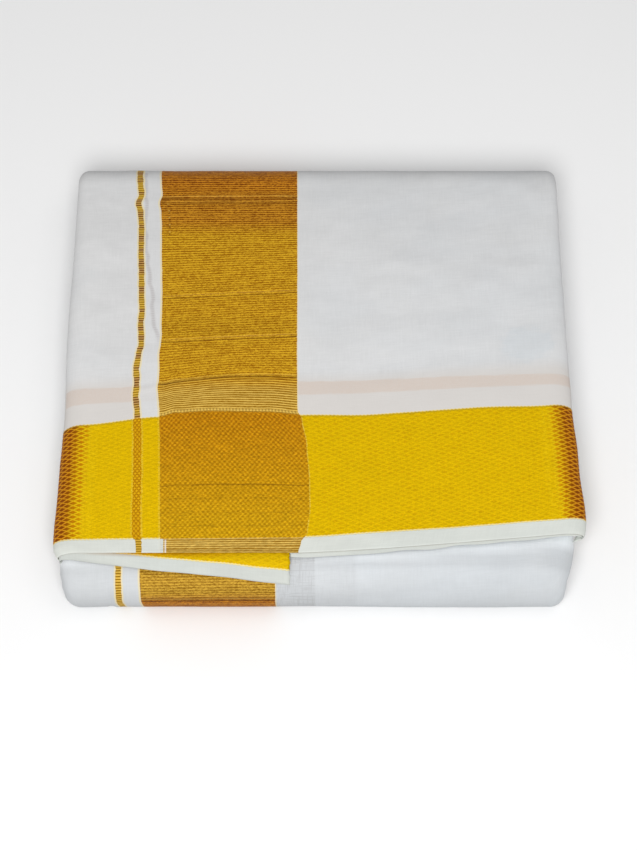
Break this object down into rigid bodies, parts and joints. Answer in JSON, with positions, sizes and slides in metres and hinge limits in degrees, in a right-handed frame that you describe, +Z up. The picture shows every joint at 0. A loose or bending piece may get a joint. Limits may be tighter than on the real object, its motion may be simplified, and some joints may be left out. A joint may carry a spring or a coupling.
{
  "type": "folded dhoti cloth",
  "caption": "Long white cotton dhoti with woven gold side border, cross band and thin stripe, folded into a flat square pack that lies on a surface.",
  "frame": {"origin": "on the surface the pack lies on, under the middle of the pack", "axes": "+X to the right and +Y to the back fold as the pack is seen with its selvedges in front, +Z up out of its top face"},
  "size_m": [0.3276, 0.3204, 0.0463],
  "materials": {
    "cotton": "bleached plain-woven cotton, matt, with a gold zari border, band and stripe woven in",
    "border": "gold zari side border with a plain white selvedge",
    "inner_layers": "bleached plain-woven cotton, matt"
  },
  "bodies": {
    "root": {"top_stretch": "cotton", "front_stretch": "cotton", "under_layer_left": "border", "under_layer_right": "border", "hidden_layers": "inner_layers"}
  },
  "joints": []
}
